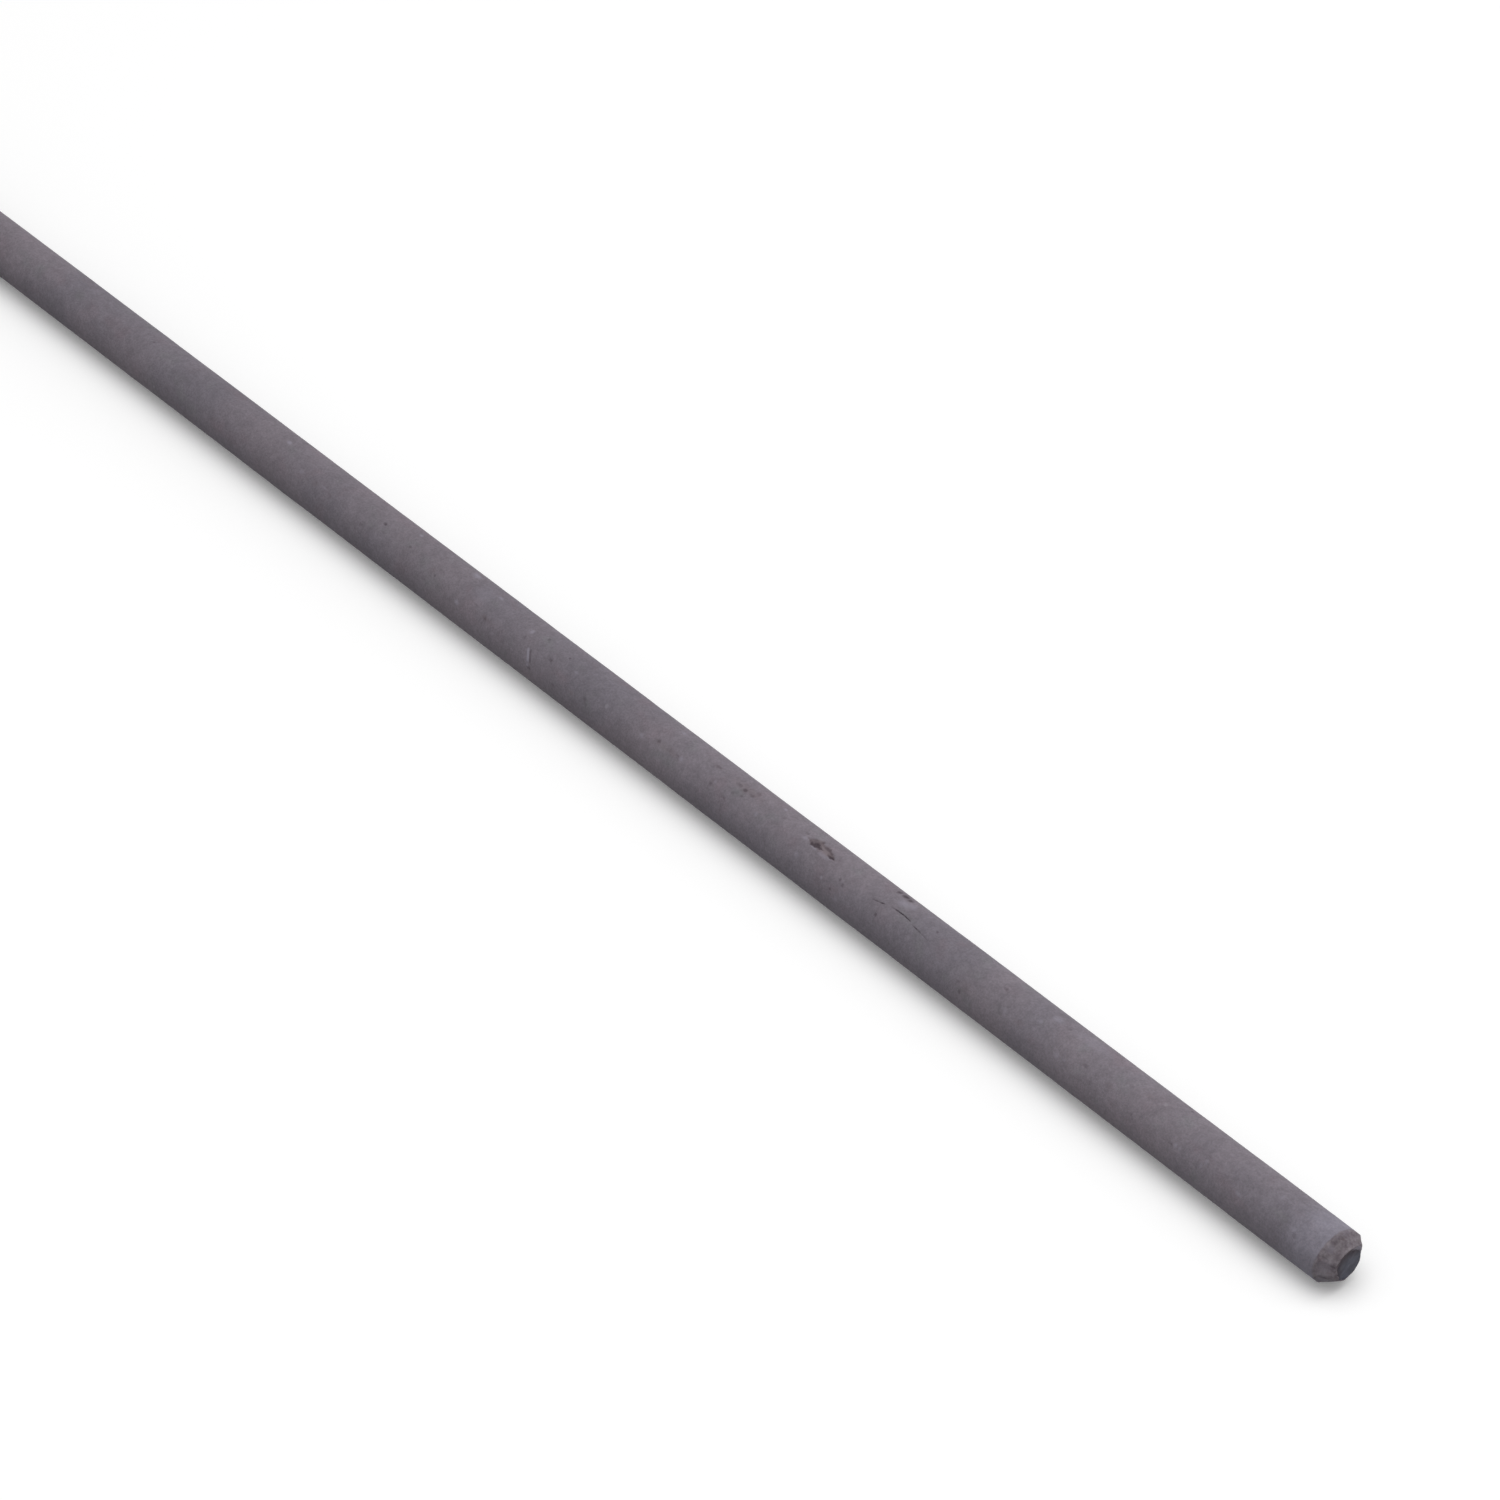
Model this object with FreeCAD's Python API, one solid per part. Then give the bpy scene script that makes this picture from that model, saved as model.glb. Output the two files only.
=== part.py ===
import FreeCAD, Part
import math
import os

from FreeCAD import Placement, Rotation, Vector

# A stick welding electrode: a steel core wire inside an extruded flux coating, in millimetres.
# The rod lies along X with its striking tip at +X. The origin is on the wire's axis, at the cut end
# of the grip. Angles run about X in degrees, from the top (+Z) towards -Y.

# The rod and its wire
ROD_LENGTH = 350.0  # cut end of the grip to the coating's end at the tip
WIRE_D = 3.2

# The bare grip, which the holder's jaws bite on
GRIP_LENGTH = 25.0  # cut end to the coating's edge
BRUSHED_DEPTH = 0.02  # what the brushes take off the bare wire's radius
BRUSHED_BLEND = 1.0  # length over which the brushed wire returns to its full size
CUT_EDGE = 0.2  # edge broken round the cut end

# The flux coating
COATING_D = 5.5
COATING_LIP = 0.25  # what the brushes leave round the wire at the coating's edge
BRUSHED_TAPER = 3.0  # length over which they round the coating down to that lip

# The ground striking tip
NOSE_LENGTH = 1.42  # length of the cone, before its flats
NOSE_RIM = 0.34  # coating left round the wire at the very end, before the flats
NOSE_SHOULDER_R = 0.4
END_SLANT = 12.0  # the end is ground this far off square
END_SLANT_ANGLE = 222.0  # the side on which it is ground back
WIRE_RECESS = 0.1  # the wire's face sits this far inside the coating's end

# Flats left by the grinding, deepest on the side that is ground back: (angle, depth under the cone)
NOSE_FLATS = (
    (-14.0, 0.07),
    (33.0, 0.02),
    (84.0, 0.15),
    (126.0, 0.32),
    (160.0, 0.55),
    (196.0, 0.61),
    (234.0, 0.60),
    (266.0, 0.58),
)

# Pits: (distance back from the tip, angle, length along the rod, width, depth)
PITS = (
    (0.35, 68.0, 0.45, 0.35, 0.10),
    (1.21, 58.0, 0.45, 0.35, 0.12),
    (0.59, 2.0, 0.40, 0.40, 0.12),
    (74.4, 9.0, 3.80, 0.80, 0.12),
)

# Worked out from the sizes above
WIRE_R = WIRE_D / 2
GRIP_R = WIRE_R - BRUSHED_DEPTH
COATING_R = COATING_D / 2
NOSE_END_R = WIRE_R + NOSE_RIM
NOSE_START = ROD_LENGTH - NOSE_LENGTH
NOSE_ANGLE = math.degrees(math.atan2(COATING_R - NOSE_END_R, NOSE_LENGTH))
TAPER_END = GRIP_LENGTH + BRUSHED_TAPER


def point(x, radius):
    """A point of a half section, which turns about X."""
    return Vector(x, 0, radius)


def turned(edges):
    """The solid that a closed half section makes when it turns about X."""
    section = Part.Face(Part.Wire(Part.__sortEdges__(edges)))
    return section.revolve(Vector(0, 0, 0), Vector(1, 0, 0), 360)


def path(points):
    """Straight edges from each point to the next."""
    return [Part.makeLine(a, b) for a, b in zip(points, points[1:])]


def rounding(before, corner, after, radius):
    """The tangent arc that rounds a corner of a section, as its first, middle and last point."""
    back = (before - corner).normalize()
    ahead = (after - corner).normalize()
    half = back.getAngle(ahead) / 2
    reach = radius / math.tan(half)
    inward = (back + ahead).normalize()
    centre = corner + inward * (radius / math.sin(half))
    return corner + back * reach, centre - inward * radius, corner + ahead * reach


def brushed_arc():
    """The arc that rounds the coating down to its lip, flush with the full diameter at its far end."""
    drop = COATING_R - WIRE_R - COATING_LIP
    radius = (BRUSHED_TAPER**2 + drop**2) / (2 * drop)
    sweep = math.asin(BRUSHED_TAPER / radius)
    middle = point(
        TAPER_END - radius * math.sin(sweep / 2),
        COATING_R - radius * (1 - math.cos(sweep / 2)),
    )
    start = point(GRIP_LENGTH, WIRE_R + COATING_LIP)
    return Part.Arc(start, middle, point(TAPER_END, COATING_R)).toShape()


def seat_on_coating(from_tip, angle):
    """A seat on the coating, whose Z is the outward normal and whose X runs towards the tip."""
    x = ROD_LENGTH - from_tip
    down_nose = max(0.0, x - NOSE_START)
    slope = NOSE_ANGLE if down_nose else 0.0
    radius = COATING_R - down_nose * math.tan(math.radians(slope))
    lay = Placement(point(x, radius), Rotation(Vector(0, 1, 0), slope))
    return Placement(Vector(0, 0, 0), Rotation(Vector(1, 0, 0), angle)) * lay


def nose_flat(angle, depth):
    """What a grinding flat takes off: all that lies above a plane just under the cone."""
    slab = Part.makeBox(4 * NOSE_LENGTH, 2 * COATING_D, COATING_D)
    slab.translate(Vector(-2 * NOSE_LENGTH, -COATING_D, -depth))
    slab.Placement = seat_on_coating(NOSE_LENGTH / 2, angle) * slab.Placement
    return slab


def pit(from_tip, angle, length, width, depth):
    """What a pit takes out: a ball, or a round-ended bar where the pit is longer than it is wide."""
    radius = (width**2 / 4 + depth**2) / (2 * depth)
    run = length - width
    height = radius - depth
    hollow = Part.makeSphere(radius, Vector(-run / 2, 0, height))
    if run > 0:
        far_end = Part.makeSphere(radius, Vector(run / 2, 0, height))
        bar = Part.makeCylinder(radius, run, Vector(-run / 2, 0, height), Vector(1, 0, 0))
        hollow = hollow.fuse([bar, far_end])
    hollow.Placement = seat_on_coating(from_tip, angle) * hollow.Placement
    return hollow


def past_end(recess):
    """All that lies past the slanted end of the tip, or past what is set back inside it."""
    block = Part.makeBox(COATING_D, 2 * COATING_D, 2 * COATING_D)
    block.translate(Vector(-recess, -COATING_D, -COATING_D))
    foremost = point(ROD_LENGTH, -NOSE_END_R)
    tilt = Placement(foremost, Rotation(Vector(0, 1, 0), -END_SLANT))
    turn = Placement(Vector(0, 0, 0), Rotation(Vector(1, 0, 0), END_SLANT_ANGLE))
    block.Placement = turn * tilt * block.Placement
    return block


def make_core_wire():
    outline = [
        point(0, 0),
        point(0, GRIP_R - CUT_EDGE),
        point(CUT_EDGE, GRIP_R),
        point(GRIP_LENGTH - BRUSHED_BLEND, GRIP_R),
        point(GRIP_LENGTH, WIRE_R),
        point(ROD_LENGTH, WIRE_R),
        point(ROD_LENGTH, 0),
        point(0, 0),
    ]
    return turned(path(outline)).cut(past_end(WIRE_RECESS))


def make_flux_coating():
    shoulder = point(NOSE_START, COATING_R)
    nose_end = point(ROD_LENGTH, NOSE_END_R)
    first, middle, last = rounding(point(TAPER_END, COATING_R), shoulder, nose_end, NOSE_SHOULDER_R)
    edges = path([point(GRIP_LENGTH, WIRE_R), point(GRIP_LENGTH, WIRE_R + COATING_LIP)])
    edges += [brushed_arc()]
    edges += path([point(TAPER_END, COATING_R), first])
    edges += [Part.Arc(first, middle, last).toShape()]
    edges += path([last, nose_end, point(ROD_LENGTH, WIRE_R), point(GRIP_LENGTH, WIRE_R)])
    coating = turned(edges)
    for flat in NOSE_FLATS:
        coating = coating.cut(nose_flat(*flat))
    coating = coating.cut(past_end(0))
    for sizes in PITS:
        coating = coating.cut(pit(*sizes))
    return coating


def main():
    os.makedirs("parts", exist_ok=True)
    nodes = {
        "core_wire": make_core_wire(),
        "flux_coating": make_flux_coating(),
    }
    for name, shape in nodes.items():
        solid = shape.Solids[0]
        print(name, len(shape.Solids), solid.isValid(), round(solid.Volume, 2), "mm3")
        solid.exportStep(f"parts/{name}.step")


main()
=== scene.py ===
import math

import bpy
import numpy as np
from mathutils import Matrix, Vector, noise


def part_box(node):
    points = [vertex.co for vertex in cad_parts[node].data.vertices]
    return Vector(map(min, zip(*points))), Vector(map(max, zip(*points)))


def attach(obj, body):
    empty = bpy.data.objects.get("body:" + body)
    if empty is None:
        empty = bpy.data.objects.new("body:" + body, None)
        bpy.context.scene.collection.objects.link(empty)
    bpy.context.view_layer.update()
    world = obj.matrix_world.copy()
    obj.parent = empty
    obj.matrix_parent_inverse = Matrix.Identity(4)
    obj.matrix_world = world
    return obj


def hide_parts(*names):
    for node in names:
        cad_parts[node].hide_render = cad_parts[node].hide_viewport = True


# A stick welding electrode lying on a pale floor, seen from above its striking tip.
# Lengths are in millimetres until a mesh is made. The rod lies along X with its tip at +X.
# Angles run about X in degrees, from the top (+Z) towards -Y, the side that faces the camera.
MM = 0.001

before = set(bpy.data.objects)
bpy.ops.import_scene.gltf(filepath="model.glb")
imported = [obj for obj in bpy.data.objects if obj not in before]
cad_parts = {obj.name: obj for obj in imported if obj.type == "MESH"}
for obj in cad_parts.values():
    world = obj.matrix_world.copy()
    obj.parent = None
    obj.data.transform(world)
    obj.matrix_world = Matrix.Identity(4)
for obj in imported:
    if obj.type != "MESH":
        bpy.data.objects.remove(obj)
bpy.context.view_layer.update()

# The main sizes, read from the parts in model.glb
coating_low, coating_high = (Vector(corner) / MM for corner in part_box("flux_coating"))
_, wire_high = (Vector(corner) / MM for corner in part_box("core_wire"))
TIP_X = coating_high.x
COATING_R = coating_high.z
GRIP_LENGTH = coating_low.x
WIRE_R = wire_high.z
WIRE_END = wire_high.x

# Sizes of the grip, as in the solids
BRUSHED_DEPTH = 0.02
BRUSHED_BLEND = 1.0
CUT_EDGE = 0.2
COATING_LIP = 0.25
BRUSHED_TAPER = 3.0

# Sizes of the ground nose, as in the solids
NOSE_LENGTH = 1.42
NOSE_RIM = 0.34
NOSE_SHOULDER_R = 0.4
NOSE_END_R = WIRE_R + NOSE_RIM
NOSE_START = TIP_X - NOSE_LENGTH
NOSE_SLOPE = math.atan2(COATING_R - NOSE_END_R, NOSE_LENGTH)
SHOULDER_REACH = NOSE_SHOULDER_R * math.tan(NOSE_SLOPE / 2)
NOSE_ZONE = NOSE_START - 1.3  # the flats reach no further back than this
END_SLANT = 12.0
END_SLANT_ANGLE = 222.0
END_MIDDLE_X = TIP_X - NOSE_END_R * math.tan(math.radians(END_SLANT))
WIRE_RECESS = 0.1

# Flats left by the grinding on the nose: (angle, depth under the cone)
NOSE_FLATS = (
    (-14.0, 0.07),
    (33.0, 0.02),
    (84.0, 0.15),
    (126.0, 0.32),
    (160.0, 0.55),
    (196.0, 0.61),
    (234.0, 0.60),
    (266.0, 0.58),
)

# From here on, distances back from the tip start at the middle of its slanted end.

# How far back the grinding has rubbed the coating: (angle, distance back from the tip)
NOSE_EDGE = (
    (-64.0, 1.60),
    (-20.0, 1.50),
    (0.0, 1.38),
    (20.0, 1.28),
    (40.0, 1.25),
    (60.0, 1.36),
    (80.0, 1.48),
    (100.0, 1.62),
    (130.0, 1.80),
    (160.0, 2.10),
    (234.0, 2.25),
    (270.0, 2.00),
    (296.0, 1.60),
)

# Pits and marks: (distance back from the tip, angle, length along the rod, width), and then the
# depth of a pit or the strength of a mark
PITS = (
    (-0.06, 68.0, 0.50, 0.42, 0.09),
    (0.76, 56.0, 0.62, 0.38, 0.07),
    (0.06, 8.0, 0.45, 0.40, 0.045),
    (0.75, 112.0, 0.50, 0.35, 0.08),
    (0.80, 205.0, 0.60, 0.50, 0.11),
    (1.00, 262.0, 0.45, 0.40, 0.09),
)

# A gouge: (distance back from the tip, angle, half width) along its middle
GOUGE = (
    (72.1, 15.0, 0.04),
    (72.4, 13.0, 0.18),
    (73.0, 10.0, 0.32),
    (73.6, 8.0, 0.38),
    (74.3, 8.0, 0.38),
    (74.8, 7.5, 0.48),
    (75.4, 8.0, 0.42),
    (75.8, 9.5, 0.22),
    (76.0, 10.0, 0.04),
)
GOUGE_DEPTH = 0.12

# A hairline crack: (distance back from the tip, angle, depth) along its line, with gaps
CRACK = (
    (57.0, 30.5, 0.00),
    (57.6, 29.0, 0.06),
    (58.1, 27.8, 0.02),
    (58.8, 26.2, 0.10),
    (59.6, 24.8, 0.08),
    (59.8, 24.2, 0.00),
    (60.1, 21.2, 0.00),
    (60.3, 20.4, 0.09),
    (61.4, 18.6, 0.12),
    (62.3, 19.2, 0.10),
    (63.0, 20.4, 0.05),
    (63.2, 20.9, 0.00),
    (63.6, 22.2, 0.02),
    (64.3, 26.2, 0.11),
    (64.9, 29.0, 0.08),
    (65.5, 31.0, 0.00),
)
CRACK_HALF_WIDTH = 1.8  # degrees
CRACK_SWAY = 16.0  # degrees either side over which the mesh bends to follow the crack

DARK_MARKS = (
    (0.80, 17.0, 0.24, 1.30, 0.16),
    (0.78, -30.0, 0.30, 0.40, 0.40),
    (0.64, 2.0, 0.35, 0.35, 0.22),
    (0.56, 48.0, 0.50, 0.24, 0.30),
    (4.50, 56.0, 0.55, 0.45, 0.35),
    (6.50, 55.0, 0.60, 0.50, 0.12),
    (16.70, 34.0, 0.40, 0.30, 0.35),
    (21.10, 58.0, 0.40, 0.26, 0.60),
    (24.50, 31.0, 0.50, 0.40, 0.25),
    (26.60, 60.0, 0.50, 0.40, 0.30),
    (28.40, 16.0, 0.50, 0.32, 0.30),
    (32.40, 60.0, 0.40, 0.40, 0.25),
    (33.90, 39.0, 0.70, 0.30, 0.40),
    (38.20, -2.0, 0.40, 0.40, 0.30),
    (46.50, 13.0, 0.42, 0.28, 0.50),
    (50.90, 74.0, 0.36, 0.40, 0.45),
    (51.40, 57.0, 0.60, 0.26, 0.35),
    (57.20, 4.0, 0.36, 0.32, 0.60),
    (58.70, -4.0, 0.40, 0.30, 0.30),
    (62.70, -22.0, 0.65, 0.70, 0.90),
    (63.50, -24.5, 0.95, 0.85, 1.00),
    (64.40, -22.5, 0.55, 0.75, 0.90),
    (63.90, 51.0, 0.44, 0.40, 0.70),
    (69.80, 38.0, 0.38, 0.36, 0.50),
    (69.20, 45.0, 0.46, 0.36, 0.50),
    (70.40, 65.0, 0.36, 0.34, 0.65),
    (71.60, 8.0, 0.50, 0.36, 0.30),
    (76.70, 3.0, 0.34, 0.26, 0.40),
    (80.20, 7.0, 0.50, 0.34, 0.30),
    (84.90, 11.0, 0.60, 0.34, 0.40),
    (84.70, -2.0, 0.70, 0.34, 0.35),
    (86.00, 9.5, 0.60, 0.42, 0.75),
    (87.00, 8.0, 0.90, 0.44, 0.35),
    (85.70, 25.0, 0.32, 0.26, 0.45),
    (86.80, 30.0, 0.44, 0.36, 0.40),
    (87.30, 48.5, 0.55, 0.28, 0.50),
    (89.70, 41.5, 0.50, 0.26, 0.50),
    (90.60, 3.0, 0.90, 0.40, 0.35),
    (95.20, 37.0, 0.60, 0.30, 0.40),
    (98.10, 36.5, 0.48, 0.38, 0.60),
    (109.20, 60.0, 0.46, 0.40, 0.35),
    (114.10, 11.0, 0.30, 0.26, 0.70),
    (115.60, 38.0, 0.38, 0.34, 0.65),
    (114.00, 78.0, 0.55, 0.40, 0.45),
    (117.90, 5.0, 0.36, 0.36, 0.45),
    (118.00, 80.0, 0.55, 0.26, 0.60),
    (120.25, 32.5, 0.36, 0.28, 0.60),
    (126.00, 52.0, 0.44, 0.40, 0.50),
    (128.00, 41.0, 0.40, 0.22, 0.40),
    (140.00, 27.0, 0.44, 0.32, 0.45),
    (144.70, 20.5, 0.42, 0.36, 0.85),
    (147.50, 52.0, 0.46, 0.40, 0.30),
    (153.10, 45.0, 0.40, 0.32, 0.35),
)
PALE_MARKS_AND_PAINTED_LIGHT = (
    # The first two are painted light: they lighten the nose's downward flats, which the lamp lights
    # little.
    (0.55, 75.0, 1.40, 1.50, 0.34),
    (0.60, 95.0, 1.40, 1.20, 0.25),
    (0.75, 36.0, 0.70, 0.90, 0.30),
    (1.00, 150.0, 1.80, 2.20, 0.55),
    (1.10, 126.0, 2.00, 1.40, 0.50),
    (3.00, -12.0, 4.50, 2.60, 0.25),
    (4.90, 47.0, 0.60, 0.50, 0.40),
    (8.10, 12.0, 0.50, 0.60, 0.30),
    (12.05, 57.0, 0.75, 0.40, 0.50),
    (16.75, 45.0, 0.34, 0.70, 0.40),
    (17.10, 57.0, 0.34, 0.60, 0.35),
    (20.05, 56.0, 0.36, 0.36, 0.45),
    (20.60, 55.0, 0.44, 0.44, 0.70),
    (35.50, -10.0, 4.60, 1.80, 0.26),
    (36.20, 54.0, 0.32, 0.32, 0.45),
    (37.20, 55.5, 0.44, 0.42, 0.60),
    (40.00, -4.0, 1.20, 0.80, 0.45),
    (41.00, 23.0, 0.46, 0.36, 0.50),
    (45.00, 47.0, 0.70, 0.46, 0.30),
    (61.70, -8.0, 1.40, 1.00, 0.45),
    (62.50, -2.0, 1.80, 1.00, 0.50),
    (69.30, 76.0, 0.50, 0.46, 0.35),
    (71.90, 57.0, 0.36, 0.36, 0.65),
    (72.60, 18.5, 0.80, 0.28, 0.45),
    (73.30, 22.0, 1.60, 0.34, 0.35),
    (75.00, 20.0, 1.10, 0.30, 0.50),
    (76.00, 51.0, 0.80, 0.56, 0.35),
    (76.50, 14.0, 0.60, 0.50, 0.50),
    (81.20, -13.0, 0.44, 0.40, 0.60),
    (82.90, 36.0, 0.46, 0.40, 0.40),
    (89.30, 33.0, 0.44, 0.30, 0.40),
    (94.50, 38.5, 0.60, 0.44, 0.55),
    (97.10, -12.0, 0.56, 0.46, 0.50),
    (100.40, 48.0, 0.50, 0.44, 0.55),
    (112.10, 27.0, 0.70, 0.36, 0.40),
    (118.30, 76.5, 0.50, 0.26, 0.60),
    (120.10, 15.0, 0.52, 0.56, 0.65),
    (126.60, -5.0, 0.80, 0.42, 0.65),
    (128.20, 12.0, 2.80, 2.40, 0.20),
    (130.60, 60.0, 0.66, 0.40, 0.65),
    (131.40, -17.0, 1.10, 0.80, 0.65),
    (140.70, -12.0, 0.50, 0.50, 0.60),
    (154.50, 37.0, 0.60, 0.30, 0.45),
    (158.40, 38.0, 0.80, 0.50, 0.35),
    (162.90, 3.0, 0.70, 0.50, 0.65),
)
# Dark patches in the gouge
GOUGE_MARKS = (
    (75.04, 12.6, 1.75, 0.56, 1.00),
    (74.98, 7.5, 0.80, 0.50, 1.00),
    (74.30, 12.5, 0.80, 0.28, 0.85),
    (74.55, 15.5, 0.40, 0.24, 0.80),
    (74.75, -3.5, 0.35, 0.34, 0.40),
    (75.45, 3.0, 0.80, 0.36, 0.25),
    (73.65, 2.8, 1.30, 0.34, 0.60),
    (72.85, 6.5, 0.80, 0.26, 0.55),
    (72.60, 13.8, 1.05, 0.30, 1.00),
)
RUSTY_MARKS = (
    (0.66, 1.0, 0.45, 0.42, 0.50),
    (26.30, 10.0, 0.90, 0.50, 0.25),
    (30.20, 43.0, 0.90, 0.60, 0.25),
    (43.00, 50.0, 1.60, 0.70, 0.25),
    (50.20, 62.0, 2.60, 1.20, 0.20),
    (85.80, 5.0, 5.20, 1.10, 0.35),
    (91.00, 3.0, 1.80, 0.80, 0.25),
    (96.60, 39.0, 4.40, 0.70, 0.25),
    (111.20, 65.0, 0.90, 0.40, 0.35),
    (126.00, 51.0, 1.60, 0.60, 0.35),
    (135.50, 36.0, 0.90, 0.60, 0.25),
    (156.00, 42.0, 1.10, 0.60, 0.25),
)
# A short scrape: (distance back from the tip, angle) along its middle, and its half width
SCRAPE = ((118.95, 45.0), (118.85, 50.0), (118.55, 60.0), (118.35, 70.0))
SCRAPE_HALF_WIDTH = 0.17

# The coating's mesh: degrees between its columns
FIRST_COLUMN = -64.0
MARKED_FROM = -6.0
BACK_FROM = 140.0
COLUMN_STEP = 3.1
MARKED_COLUMN_STEP = 2.2
BACK_COLUMN_STEP = 5.6

# and millimetres between its rings, where no mark needs them closer
RING_STEP = 0.5
NOSE_RING_STEP = 0.055
LIP_RING_STEP = 0.12
PLAIN_RING_STEP = 1.2
PLAIN_END_X = 170.0  # from the grip up to here the coating has no marks

# The photograph's viewpoint, and the way from there to the middle of the framed stretch
CAMERA_PLACE = Vector((739.19, -337.2, 407.5))
CAMERA_AZIMUTH = 51.6
CAMERA_ELEVATION = 36.5
TO_FRAME_MIDDLE = Vector((-0.6723, 0.4769, -0.5662))
LENS = 184.0


def spaced(start, end, step):
    """Values from start up to but not including end, evenly spaced at about the step."""
    count = max(1, round(abs(end - start) / step))
    return list(np.linspace(start, end, count, endpoint=False))


def smooth(value, low, high):
    """0 below low, 1 above high and an even S between them."""
    t = np.clip((value - low) / (high - low), 0.0, 1.0)
    return t * t * (3 - 2 * t)


def lumps(points, size, octaves, seed):
    """Smooth noise of about -1 to 1 at each point, whose largest lumps are of the given size."""
    shift = Vector((17.31, 5.17, 9.73)) * seed
    flat = points.reshape(-1, 3) / size
    values = [noise.fractal(Vector(p) + shift, 0.9, 2.0, octaves) for p in flat.tolist()]
    return np.array(values).reshape(points.shape[:-1])


def surface_points(x, angle, radius):
    turn = np.radians(angle)
    return np.stack([x, -radius * np.sin(turn), radius * np.cos(turn)], axis=-1)


def angle_between(angle, other):
    """The signed difference of two angles, from -180 to 180 degrees."""
    return (angle - other + 180.0) % 360.0 - 180.0


def on_side(angle, middle, full, none):
    """1 up to some degrees from a middle angle, which falls to 0 further round."""
    return 1 - smooth(np.abs(angle_between(angle, middle)), full, none)


def coating_outline(x):
    """The coating's radius before its flats, pits and grain."""
    radius = np.full_like(x, COATING_R)
    drop = COATING_R - WIRE_R - COATING_LIP
    arc = (BRUSHED_TAPER**2 + drop**2) / (2 * drop)
    along = np.clip(GRIP_LENGTH + BRUSHED_TAPER - x, 0, BRUSHED_TAPER)
    radius -= arc - np.sqrt(arc**2 - along**2)
    down_nose = np.maximum(0.0, x - NOSE_START)
    cone = COATING_R - down_nose * math.tan(NOSE_SLOPE)
    past = np.clip(x - (NOSE_START - SHOULDER_REACH), 0, NOSE_SHOULDER_R * math.sin(NOSE_SLOPE))
    rounded = COATING_R - (NOSE_SHOULDER_R - np.sqrt(NOSE_SHOULDER_R**2 - past**2))
    on_shoulder = np.abs(x - NOSE_START) < SHOULDER_REACH
    return np.minimum(radius, np.where(on_shoulder, rounded, cone))


def cut_flats(x, angle, radius):
    """Lowers the radius to each grinding flat of the nose."""
    for flat_angle, depth in NOSE_FLATS:
        line = COATING_R - (x - NOSE_START) * math.tan(NOSE_SLOPE) - depth / math.cos(NOSE_SLOPE)
        facing = np.cos(np.radians(angle_between(angle, flat_angle)))
        plane = line / np.maximum(facing, 0.2)
        radius = np.minimum(radius, plane)
    return radius


def end_plane(radius, angle):
    """Where the slanted end of the tip lies along the rod, at a radius and an angle."""
    low_side = np.cos(np.radians(angle_between(angle, END_SLANT_ANGLE)))
    return END_MIDDLE_X - math.tan(math.radians(END_SLANT)) * radius * low_side


def rim_plane(radius, angle):
    """The coating's own end, which is worn down to the wire's face on its low side."""
    worn = on_side(angle, END_SLANT_ANGLE + 16.0, 40.0, 72.0)
    return end_plane(radius, angle) - WIRE_RECESS * worn


def draw_back(x, angle):
    """Draws the nose's rings back so that the last one lies on the slanted end."""
    end = np.full_like(x, TIP_X)
    for _ in range(4):
        end = rim_plane(cut_flats(end, angle, coating_outline(end)), angle)
    share = np.clip((x - NOSE_ZONE) / (TIP_X - NOSE_ZONE), 0.0, 1.0)
    return x - share * (TIP_X - end)


def coating_angles():
    """The columns of the coating's mesh, closer on the side that shows its marks."""
    crack_angle = float(np.mean([point[1] for point in CRACK]))
    beside_crack = 3.0
    columns = spaced(FIRST_COLUMN, MARKED_FROM, COLUMN_STEP)
    columns += spaced(MARKED_FROM, crack_angle - beside_crack, MARKED_COLUMN_STEP)
    for off in (-beside_crack, -CRACK_HALF_WIDTH, 0.0, CRACK_HALF_WIDTH):
        columns += [crack_angle + off]
    columns += spaced(crack_angle + beside_crack, BACK_FROM, COLUMN_STEP)
    columns += spaced(BACK_FROM, FIRST_COLUMN + 360.0, BACK_COLUMN_STEP)
    return np.array(columns), crack_angle


def coating_rings():
    """The rings of the coating's outer surface, closer at its ends and its marks."""
    close = [(GRIP_LENGTH, GRIP_LENGTH + BRUSHED_TAPER + 0.6, LIP_RING_STEP)]
    close += [(NOSE_ZONE, TIP_X, NOSE_RING_STEP)]
    for line, step in ((GOUGE, 0.09), (CRACK, 0.15), (SCRAPE, 0.08)):
        ends = [END_MIDDLE_X - point[0] for point in line]
        close += [(min(ends) - 0.6, max(ends) + 0.6, step)]
    for from_tip, _, length, _, _ in DARK_MARKS + PALE_MARKS_AND_PAINTED_LIGHT + RUSTY_MARKS:
        middle = END_MIDDLE_X - from_tip
        close += [(middle - 0.6 * length, middle + 0.6 * length, length / 4)]
    x = GRIP_LENGTH
    rings = []
    while x < TIP_X - 0.03:
        rings.append(x)
        steps = [step for start, end, step in close if start - 0.2 <= x < end]
        x += min(steps + [PLAIN_RING_STEP if x < PLAIN_END_X else RING_STEP])
    return np.array(rings + [TIP_X])


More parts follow.
